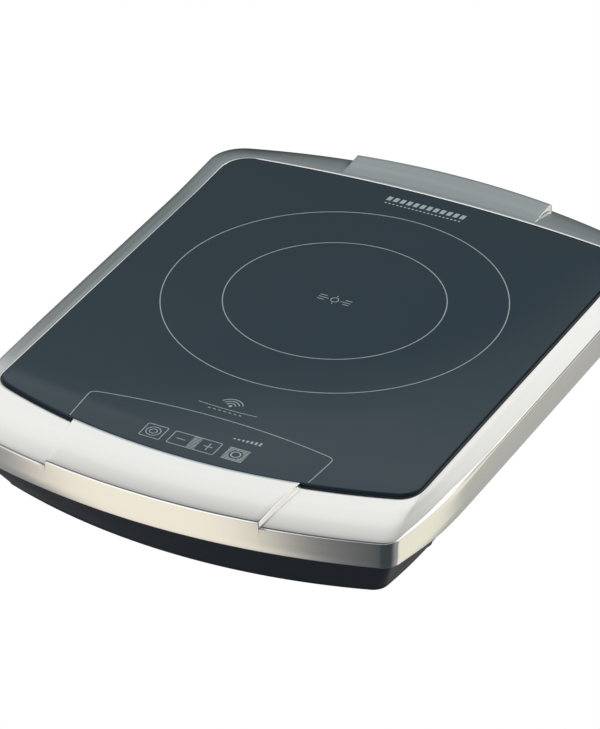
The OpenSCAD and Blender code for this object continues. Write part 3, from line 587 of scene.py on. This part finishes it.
def turned_y(x, z, r, y0, y1, n=40):
    """Cylinder along y."""
    V = [(x + r * math.cos(2 * math.pi * i / n), y, z + r * math.sin(2 * math.pi * i / n)) for y in (y0, y1) for i in range(n)]
    F = [tuple(range(n)), tuple(range(2 * n - 1, n - 1, -1))] + [(i, n + i, n + (i + 1) % n, (i + 1) % n) for i in range(n)]
    return V, F


def soup(name, parts):
    V, F = [], []
    for v, f in parts:
        k = len(V)
        V += list(v)
        F += [tuple(i + k for i in q) for q in f]
    o = new_mesh(name, V, F, None)
    fix_normals(o)
    return o


def boolean(a, b, op):
    md = a.modifiers.new("cut", "BOOLEAN")
    md.operation = op
    md.object = b
    md.solver = "EXACT"
    md.use_self = True
    bpy.context.view_layer.update()
    dg = bpy.context.evaluated_depsgraph_get()
    me = bpy.data.meshes.new_from_object(a.evaluated_get(dg))
    a.modifiers.clear()
    old = a.data
    a.data = me
    bpy.data.meshes.remove(old)
    d = b.data
    bpy.data.objects.remove(b)
    bpy.data.meshes.remove(d)


def make_base():
    o = closed_stack("base_shell_moulded", base_outer(), PLASTIC, 30)
    inner = closed_stack("tmp_inner", base_inner()[:-1] + [at(ring_body(2.2 + WALL), 52)], None)
    boolean(o, inner, "DIFFERENCE")
    posts = [prism(disc(x, y, 4), FLOOR_Z - 0.4, 49.2) for x, y in SHIELD_POST]
    posts += [prism(disc(x, y, 3.6), FLOOR_Z - 0.4, 14) for x, y in BOARD_POST]
    posts += [prism(disc(x, y, 3.6), FLOOR_Z - 0.4, 7.7) for x, y in FAN_POST]
    posts += [prism(disc(x, y, 4), FLOOR_Z - 0.4, 49) for x, y in TOUCH_POST]
    posts += [prism(disc(sx * 122, y, 5), FLOOR_Z - 0.4, 48) for sx in (-1, 1) for y in BRACKET_Y]
    posts.append(turned_y(GLAND_X, GLAND_Z, 13, 181, 200))
    boolean(o, soup("tmp_posts", posts), "UNION")
    cuts = [prism(disc(x, y, 1.5), 35.2, 50.2) for x, y in SHIELD_POST]
    cuts += [prism(disc(x, y, 1.3), 8, 15) for x, y in BOARD_POST]
    cuts += [prism(disc(x, y, 1.9), FOOT_H - 1, 9) for x, y in FAN_POST]
    cuts += [prism(disc(x, y, 1.3), 37, 50) for x, y in TOUCH_POST]
    for sx in (-1, 1):
        for y in BRACKET_Y:
            cuts += [prism(disc(sx * 122, y, 3.4), FOOT_H - 1, 39), prism(disc(sx * 122, y, 1.75), 38.9, 49)]
    cuts += [turned_y(GLAND_X, GLAND_Z, 7.1, 170, 220), turned_y(GLAND_X, GLAND_Z, 11.5, 200, 230)]
    for i in range(-5, 6):
        w = math.sqrt(max(0.0, 34 * 34 - (i * 6.2) ** 2))
        cuts.append(slot_mesh(FAN[0] - w, FAN[0] + w, FAN[1] + i * 6.2 - 1.5, FAN[1] + i * 6.2 + 1.5, FOOT_H - 1, FLOOR_Z + 0.6))
    for i in range(12):
        cuts.append(slot_mesh(98, 114, 104 - i * 7, 107 - i * 7, FOOT_H - 1, FLOOR_Z + 0.6))
    for i in range(-7, 2):
        cuts.append(box_mesh(i * 9 - 26, i * 9 - 23, 174, 205, 14, 34))
    boolean(o, soup("tmp_cuts", cuts), "DIFFERENCE")
    me = o.data
    me.materials.clear()
    me.materials.append(PLASTIC)
    for p in me.polygons:
        p.use_smooth = True
        p.material_index = 0
    me.set_sharp_from_angle(angle=math.radians(30))
    return own(o, "base_plastic", "base_housing")


make_base()
feet = [lathe("tmp_foot", [(0.01, 0.75), (1.2, 0.75), (1.7, 0.25), (2.2, 0.0), (6.3, 0.0), (6.9, 0.12), (7.35, 0.5), (7.6, 1.0), (8.0, 1.3), (8.0, 2.5), (0.01, 2.5)],
              (x, y, 0.0), "z", RUBBER, 56, 30) for x, y in FEET]
own(join_parts("rubber_feet_ribbed", feet), "foot_rubber", "rubber_feet")
R = 3.75
prof = [(R, 170), (6.9, 170), (6.9, 200), (9.6, 200), (10, 200.4), (10, 202.7), (9.7, 203.0)]
for k in range(3):
    y0 = 203.2 + k * 3.1
    r0 = 8.7 - k * 0.75
    prof += [(r0 - 0.75, y0), (r0 - 0.75, y0 + 0.7), (r0, y0 + 1.0), (r0 - 0.1, y0 + 2.6), (r0 - 0.75, y0 + 2.9)]
prof += [(6.3, 212.6), (5.9, 213.0), (4.1, 213.0), (R, 212.6)]
own(lathe("cord_gland_ribbed", prof, (GLAND_X, 0.0, GLAND_Z), "y", RUBBER, 72, 30), "gland_rubber", "cord_gland")


# ---------------------------------------------------------------- printed marks on the glass (generic signs only)
ZONE_X, ZONE_Y = -0.5, 36.0
MARK_LO, MARK_HI = GZ - 0.015, GZ + 0.02
marks = []


def ribbon(pts, w, closed=False):
    P = np.array(pts, float)
    n = len(P)
    if closed:
        T = np.roll(P, -1, 0) - np.roll(P, 1, 0)
    else:
        T = np.gradient(P, axis=0)
    T /= np.linalg.norm(T, axis=1)[:, None]
    N = np.column_stack([-T[:, 1], T[:, 0]]) * w / 2
    A, B = P + N, P - N
    V = [(x + ZONE_X, y + ZONE_Y, z) for S, z in ((A, MARK_HI), (B, MARK_HI), (A, MARK_LO), (B, MARK_LO)) for x, y in S]
    F = []
    for i in range(n if closed else n - 1):
        k = (i + 1) % n
        F += [(i, n + i, n + k, k), (2 * n + k, 3 * n + k, 3 * n + i, 2 * n + i), (k, 2 * n + k, 2 * n + i, i), (n + i, 3 * n + i, 3 * n + k, n + k)]
    if not closed:
        F += [(0, 2 * n, 3 * n, n), (2 * n - 1, 4 * n - 1, 3 * n - 1, n - 1)]
    marks.append((V, F))


def arc(cx, cy, r, a0, a1, n=24):
    return [(cx + r * math.cos(math.radians(a0 + (a1 - a0) * i / n)), cy + r * math.sin(math.radians(a0 + (a1 - a0) * i / n))) for i in range(n + 1)]


def circle(cx, cy, r, w, n=48):
    ribbon(arc(cx, cy, r, 0, 360, n)[:-1], w, True)


def patch(pts):
    V, F = prism(pts, MARK_LO, MARK_HI)
    marks.append(([(x + ZONE_X, y + ZONE_Y, z) for x, y, z in V], F))


def block(x0, x1, y0, y1, lean=0.0):
    patch([(x0, y0), (x1, y0), (x1 + lean, y1), (x0 + lean, y1)])


def round_rect(x0, x1, y0, y1, r, w):
    p = []
    for cx, cy, a in ((x1 - r, y0 + r, -90), (x1 - r, y1 - r, 0), (x0 + r, y1 - r, 90), (x0 + r, y0 + r, 180)):
        p += arc(cx, cy, r, a, a + 90, 5)
    ribbon(p, w, True)


LINE = 0.62
circle(0, 0, 112.5, LINE, 240)
circle(0, 0, 72.4, LINE, 180)
# keypad outline: a wide arch over the keys, open at the front edge of the glass
top = [(x, -158.9 - (420 - math.sqrt(420 ** 2 - x * x))) for x in np.linspace(-81.5, 81.5, 60)]
right = [(84.0, -168.0), (85.1, -169.6), (85.2, -171.6), (84.6, -182.0), (83.9, -192.0), (83.3, -198.4)]
ribbon([(-x, y) for x, y in right[::-1]] + top + right, LINE)
# stop key: square with two rings
round_rect(-35.1, -21.0, -198.0, -183.8, 0.9, 0.6)
circle(-28.3, -190.9, 4.7, 0.6, 36)
circle(-28.3, -190.9, 2.4, 0.6, 28)
# level keys: minus, plus and the hatched bar between them
round_rect(-15.7, 16.8, -198.0, -184.1, 0.9, 0.6)
for i in range(9):
    y = -197.0 + i * 1.5
    block(-2.4, 3.4, y, y + 0.72)
block(-12.0, -6.0, -191.4, -190.7)
block(7.2, 13.2, -191.4, -190.7)
block(9.85, 10.55, -195.0, -187.0)
# heat key: hatched square with a clear ring
for i in range(10):
    y = -198.1 + i * 1.43
    half_w = 7.1
    dy = abs(y + 0.36 + 191.2)
    if dy < 4.6:
        g = math.sqrt(4.6 ** 2 - dy * dy)
        block(29.5 - half_w, 29.5 - g, y, y + 0.78)
        block(29.5 + g, 29.5 + half_w, y, y + 0.78)
    else:
        block(29.5 - half_w, 29.5 + half_w, y, y + 0.78)
circle(29.5, -191.2, 3.0, 0.9, 32)
# rising level bars above the heat key
for i in range(7):
    block(19.6 + i * 2.9, 21.2 + i * 2.9, -176.0, -174.9 + i * 0.42)
# finger-tap sign above the keypad: a dot with spreading arcs, and a dashed line under it
patch(disc(0.4, -143.6, 1.15, 20))
for k, r in enumerate((3.2, 5.6, 8.0)):
    ribbon(arc(0.4, -143.6, r, 25 if k else 20, 155 if k else 160, 20), 0.7)
ribbon([(-20 + i, -147.2 - 0.8 * math.sin(i / 41 * math.pi)) for i in range(0, 42)], 0.5)
for i in range(7):
    block(-11.5 + i * 3.6, -9.6 + i * 3.6, -151.2, -150.5)
# centring mark of the cooking zone
circle(0, 0, 2.6, 0.55, 28)
for a, b in ((1, 0), (-1, 0)):
    block(min(a * 4.2, a * 11.5), max(a * 4.2, a * 11.5), -0.28, 0.28)
for s in (-1, 1):
    block(-0.28, 0.28, min(s * 3.6, s * 5.2), max(s * 3.6, s * 5.2))
    block(-11.5, -6.5, s * 2.6 - 0.3, s * 2.6 + 0.3)
    block(6.5, 11.5, s * 2.6 - 0.3, s * 2.6 + 0.3)
# level scale at the back of the glass
for i in range(12):
    x = -28.4 + i * 4.9
    h = 5.2
    block(x, x + 3.1, 130.2, 130.2 + h, 0.5)
for i in range(20):
    x = -27.5 + i * 2.85
    block(x, x + 1.5, 126.2, 127.4)

printed = soup("printed_marks", marks)
printed.data.materials.append(PRINT)
for p in printed.data.polygons:
    p.use_smooth = False
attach(printed, BODY)

# ---------------------------------------------------------------- finishes of the carried-over nodes
LOOK = {
    "galvanised_steel": dict(color=(0.46, 0.47, 0.48), rough=0.38, metal=1.0, var=0.22, scale=160, grain=700, bump=0.05),
    "screw_steel": dict(color=(0.50, 0.50, 0.51), rough=0.30, metal=1.0, var=0.12, scale=500, grain=3000, bump=0.08),
    "mica": dict(color=(0.56, 0.50, 0.36), rough=0.45, var=0.18, scale=45, grain=420, bump=0.12, stretch=(1, 2.4, 1)),
    "litz_copper": dict(color=(0.60, 0.24, 0.09), rough=0.36, metal=0.85, var=0.30, scale=700, grain=2600, bump=0.35, stretch=(1, 1, 0.4)),
    "carrier_plastic": dict(color=(0.52, 0.50, 0.45), rough=0.50, var=0.06, scale=30, grain=1800, bump=0.12),
    "ferrite": dict(color=(0.014, 0.014, 0.016), rough=0.55, var=0.35, scale=350, grain=2400, bump=0.30),
    "shield_aluminium": dict(color=(0.60, 0.60, 0.61), rough=0.33, metal=1.0, var=0.08, scale=80, grain=1200, bump=0.05, stretch=(1, 14, 1)),
    "white_silicone": dict(color=(0.74, 0.74, 0.71), rough=0.48, var=0.06, scale=90, grain=1500, bump=0.10),
    "sensor_glass": dict(color=(0.20, 0.06, 0.025), rough=0.12, var=0.2, scale=600, grain=2000, bump=0.03, coat=0.5),
    "lead_sleeve": dict(color=(0.62, 0.03, 0.025), rough=0.42, var=0.10, scale=150, grain=1900, bump=0.10),
    "sensor_sleeve": dict(color=(0.76, 0.76, 0.72), rough=0.44, var=0.06, scale=150, grain=1900, bump=0.08),
    "board_laminate": dict(color=(0.016, 0.120, 0.045), rough=0.34, var=0.28, scale=420, grain=2800, bump=0.10, coat=0.3, stretch=(1, 3, 1)),
    "heatsink_aluminium": dict(color=(0.62, 0.62, 0.63), rough=0.36, metal=1.0, var=0.10, scale=120, grain=1500, bump=0.10, stretch=(1, 0.08, 1)),
    "component_black": dict(color=(0.015, 0.015, 0.016), rough=0.46, var=0.25, scale=260, grain=3200, bump=0.18),
    "capacitor_blue": dict(color=(0.018, 0.060, 0.240), rough=0.30, var=0.12, scale=120, grain=1600, bump=0.08, coat=0.3),
    "capacitor_yellow": dict(color=(0.68, 0.46, 0.030), rough=0.34, var=0.10, scale=120, grain=1600, bump=0.08),
    "can_aluminium": dict(color=(0.58, 0.59, 0.60), rough=0.25, metal=1.0, var=0.08, scale=200, grain=1500, bump=0.04),
    "winding_copper": dict(color=(0.62, 0.22, 0.07), rough=0.26, metal=0.9, var=0.26, scale=500, grain=2200, bump=0.25, coat=0.3),
    "tape_yellow": dict(color=(0.72, 0.56, 0.045), rough=0.38, var=0.12, scale=200, grain=1500, bump=0.12),
    "fuse_glass": dict(color=(0.55, 0.62, 0.62), rough=0.08, var=0.12, scale=500, grain=1500, bump=0.02, coat=0.4),
    "clip_brass": dict(color=(0.66, 0.56, 0.32), rough=0.28, metal=1.0, var=0.14, scale=500, grain=2400, bump=0.06),
    "varistor_blue": dict(color=(0.015, 0.075, 0.300), rough=0.28, var=0.12, scale=260, grain=1800, bump=0.06, coat=0.3),
    "terminal_plastic": dict(color=(0.035, 0.220, 0.070), rough=0.45, var=0.10, scale=100, grain=2000, bump=0.12),
    "header_plastic": dict(color=(0.72, 0.70, 0.64), rough=0.46, var=0.06, scale=100, grain=2000, bump=0.10),
    "earth_sleeve": dict(color=(0.20, 0.42, 0.030), rough=0.42, var=0.35, scale=140, grain=1900, bump=0.08, tint=(0.72, 0.62, 0.05)),
    "fan_plastic": dict(color=(0.016, 0.016, 0.018), rough=0.40, var=0.15, scale=80, grain=2200, bump=0.10),
    "magnet": dict(color=(0.045, 0.045, 0.048), rough=0.50, metal=0.4, var=0.2, scale=300, grain=2200, bump=0.15),
    "shaft_steel": dict(color=(0.62, 0.62, 0.63), rough=0.16, metal=1.0, var=0.06, scale=300, grain=2400, bump=0.03),
    "bearing_bronze": dict(color=(0.46, 0.30, 0.12), rough=0.34, metal=1.0, var=0.18, scale=500, grain=2600, bump=0.10),
    "guide_clear": dict(color=(0.70, 0.74, 0.76), rough=0.22, var=0.05, scale=120, grain=1800, bump=0.04, coat=0.3),
    "led_red": dict(color=(0.55, 0.025, 0.015), rough=0.18, var=0.12, scale=300, grain=1800, bump=0.03, coat=0.4),
    "ribbon_grey": dict(color=(0.34, 0.34, 0.35), rough=0.44, var=0.14, scale=900, grain=2200, bump=0.15, stretch=(1, 0.1, 1)),
    "duct_plastic": dict(color=(0.022, 0.022, 0.024), rough=0.44, var=0.12, scale=70, grain=2200, bump=0.12),
}
looks = {}
replaced = {"steel_frame", "glass_plate", "glass_seal", "base_housing", "rubber_feet", "cord_gland"}
for sub in frame["record"]["subparts"]:
    node = sub["node"]
    if node in replaced or node not in frame["nodes"]:
        continue
    o = frame["nodes"][node]
    slot = sub["material_slot"]
    if slot not in looks:
        looks[slot] = surface("finish_" + slot, **LOOK[slot])
    if not o.material_slots:
        raise RuntimeError("no material slot on " + node)
    for s in o.material_slots:
        s.material = looks[slot]


# ---------------------------------------------------------------- studio: white floor and backdrop, soft lights
def flat_mesh(name, verts, faces):
    me = bpy.data.meshes.new(name)
    me.from_pydata(verts, [], faces)
    o = bpy.data.objects.new(name, me)
    bpy.context.scene.collection.objects.link(o)
    return o


def glow(name, level):
    mat = bpy.data.materials.new(name)
    mat.use_nodes = True
    t = mat.node_tree
    t.nodes.clear()
    net = Net(t)
    out = net.put("ShaderNodeOutputMaterial")
    em = net.put("ShaderNodeEmission")
    em.inputs["Strength"].default_value = level
    return mat, net, em, out


# floor: seen from above only, and it doesn't tint the object
mat, net, em, out = glow("studio_floor", 1.0)
mx = net.put("ShaderNodeMixShader")
net.wire(mx.inputs[0], net.put("ShaderNodeNewGeometry").outputs["Backfacing"])
net.l.new(em.outputs[0], mx.inputs[1])
net.l.new(net.put("ShaderNodeBsdfTransparent").outputs[0], mx.inputs[2])
net.l.new(mx.outputs[0], out.inputs[0])
floor = flat_mesh("studio_floor", [(-7, -7, -0.0001), (7, -7, -0.0001), (7, 7, -0.0001), (-7, 7, -0.0001)], [(0, 1, 2, 3)])
floor.data.materials.append(mat)
floor.visible_glossy = floor.visible_diffuse = floor.visible_shadow = floor.visible_transmission = False

# backdrop: a white dome that only the camera sees
mat, net, em, out = glow("studio_backdrop", 1.0)
net.l.new(em.outputs[0], out.inputs[0])
bm = bmesh.new()
bmesh.ops.create_icosphere(bm, subdivisions=3, radius=9.0)
me = bpy.data.meshes.new("studio_backdrop")
bm.to_mesh(me)
bm.free()
dome = bpy.data.objects.new("studio_backdrop", me)
bpy.context.scene.collection.objects.link(dome)
me.materials.append(mat)
dome.visible_glossy = dome.visible_diffuse = dome.visible_shadow = dome.visible_transmission = False

# softbox behind the object: bright cloth with a dark flag hung in front of its middle
PANEL_Y = 0.636
mat, net, em, out = glow("softbox_behind", 1.0)
pos = net.put("ShaderNodeSeparateXYZ")
net.wire(pos.inputs[0], net.put("ShaderNodeNewGeometry").outputs["Position"])
px, pz = pos.outputs[0], net.m("SUBTRACT", pos.outputs[2], 0.0675)
top_z = net.ramp(px, -0.4, 0.4, 1.13, 0.60)
cloth = net.ramp(net.m("SUBTRACT", pz, top_z), -0.32, 0.42, 1.20, 0.46)
side = net.ramp(px, 0.36, 0.50)
cloth = net.m("ADD", net.m("MULTIPLY", cloth, net.m("SUBTRACT", 1.0, side)), net.m("MULTIPLY", net.ramp(pz, 0.26, 0.46, 0.15, 1.7), side))
ex = net.m("DIVIDE", net.m("ADD", px, 0.42), 0.45)
ez = net.m("DIVIDE", net.m("SUBTRACT", pz, 0.10), 0.50)
rho = net.m("SQRT", net.m("ADD", net.m("MULTIPLY", ex, ex), net.m("MULTIPLY", ez, ez)))
flag = net.ramp(pz, 0.1, 0.6, 0.26, 0.56)
t = net.ramp(rho, 0.9, 1.25)
lit = net.m("ADD", net.m("MULTIPLY", cloth, t), net.m("MULTIPLY", flag, net.m("SUBTRACT", 1.0, t)))
low = net.ramp(pz, -0.02, 0.14, 0.14, 1.0)
net.wire(em.inputs["Strength"], net.m("MULTIPLY", lit, low))
net.wire(em.inputs["Color"], net.mixc(net.m("MULTIPLY", t, low), (0.88, 1.0, 1.04), (1.0, 1.0, 0.985)))
net.l.new(em.outputs[0], out.inputs[0])
panel = flat_mesh("softbox_behind", [(-1.3, PANEL_Y, 0), (0.8, PANEL_Y, 0), (0.8, PANEL_Y, 1.6), (-1.3, PANEL_Y, 1.6)], [(0, 1, 2, 3)])
panel.data.materials.append(mat)
panel.visible_camera = False

# room: broad warm fill from the front left, a window-like fill from the right, dark behind the camera
world = bpy.data.worlds.new("studio")
bpy.context.scene.world = world
world.use_nodes = True
world.node_tree.nodes.clear()
net = Net(world.node_tree)
out = net.put("ShaderNodeOutputWorld")
bg = net.put("ShaderNodeBackground")
net.l.new(bg.outputs[0], out.inputs[0])
sep = net.put("ShaderNodeSeparateXYZ")
net.wire(sep.inputs[0], net.put("ShaderNodeTexCoord").outputs["Generated"])
dx, dy, dz = sep.outputs[0], sep.outputs[1], sep.outputs[2]
flat = net.m("SQRT", net.m("MAXIMUM", net.m("SUBTRACT", 1.0, net.m("MULTIPLY", dz, dz)), 1e-6))
hx, hy = net.m("DIVIDE", dx, flat), net.m("DIVIDE", dy, flat)


def lobe(az, full, zero):
    """1 within full degrees of the azimuth, 0 beyond zero degrees."""
    a = math.radians(az)
    c = net.m("ADD", net.m("MULTIPLY", hx, math.cos(a)), net.m("MULTIPLY", hy, math.sin(a)))
    return net.ramp(c, math.cos(math.radians(zero)), math.cos(math.radians(full)))


def rise_el(lo, hi):
    return net.ramp(dz, math.sin(math.radians(lo)), math.sin(math.radians(hi)))


def times(*v):
    out_ = v[0]
    for x in v[1:]:
        out_ = net.m("MULTIPLY", out_, x)
    return out_


def fall_el(lo, hi):
    return net.m("SUBTRACT", 1.0, rise_el(lo, hi))


col = net.mixc(rise_el(52, 60), (0.33, 0.33, 0.33), (0.10, 0.105, 0.11))
col = net.mixc(times(lobe(118, 35, 60), rise_el(-35, -15), fall_el(20, 30)), col, (0.16, 0.17, 0.175))
col = net.mixc(times(lobe(88, 18, 30), fall_el(-18, -8)), col, (0.50, 0.50, 0.485))
col = net.mixc(times(lobe(-45, 24, 56), fall_el(52, 62)), col, (0.055, 0.065, 0.07))
col = net.mixc(times(lobe(-119.5, 10, 29), fall_el(0, 14)), col, (1.16, 1.08, 0.92))
col = net.mixc(times(lobe(-119.5, 16, 32), rise_el(0, 10), fall_el(52, 58)), col, (1.5, 1.5, 1.5))
col = net.mixc(times(lobe(45, 10, 19), fall_el(-5, 10)), col, (1.05, 1.03, 0.86))
col = net.mixc(times(lobe(40, 15, 28), rise_el(-5, 10), fall_el(36, 54)), col, (1.45, 1.43, 1.32))
col = net.mixc(times(lobe(-70, 90, 120), rise_el(54, 58), fall_el(66, 72)), col, (1.3, 1.3, 1.27))
col = net.mixc(fall_el(-58, -46), col, (0.085, 0.095, 0.12))
net.wire(bg.inputs["Color"], col)
bg.inputs["Strength"].default_value = 1.0

# ---------------------------------------------------------------- camera
az, el, roll = math.radians(27.372), math.radians(31.969), math.radians(0.07)
back = Vector((math.sin(az) * math.cos(el), -math.cos(az) * math.cos(el), math.sin(el)))
rt = Vector((math.cos(az), math.sin(az), 0.0))
up = back.cross(rt)
cx = math.cos(roll) * rt + math.sin(roll) * up
cy = -math.sin(roll) * rt + math.cos(roll) * up
cam_data = bpy.data.cameras.new("camera")
cam = bpy.data.objects.new("camera", cam_data)
bpy.context.scene.collection.objects.link(cam)
cam_data.sensor_fit = "VERTICAL"
cam_data.sensor_width = cam_data.sensor_height = 36.0
cam_data.lens = 254.76
cam_data.clip_start, cam_data.clip_end = 0.1, 40.0
cam.matrix_world = Matrix(((cx.x, cy.x, back.x, 1.285737), (cx.y, cy.y, back.y, -2.496927), (cx.z, cy.z, back.z, 1.791362), (0, 0, 0, 1)))
bpy.context.scene.camera = cam

view = bpy.context.scene.view_settings
view.view_transform = "Standard"
view.look = "None"
view.exposure = 0.0
view.gamma = 1.0
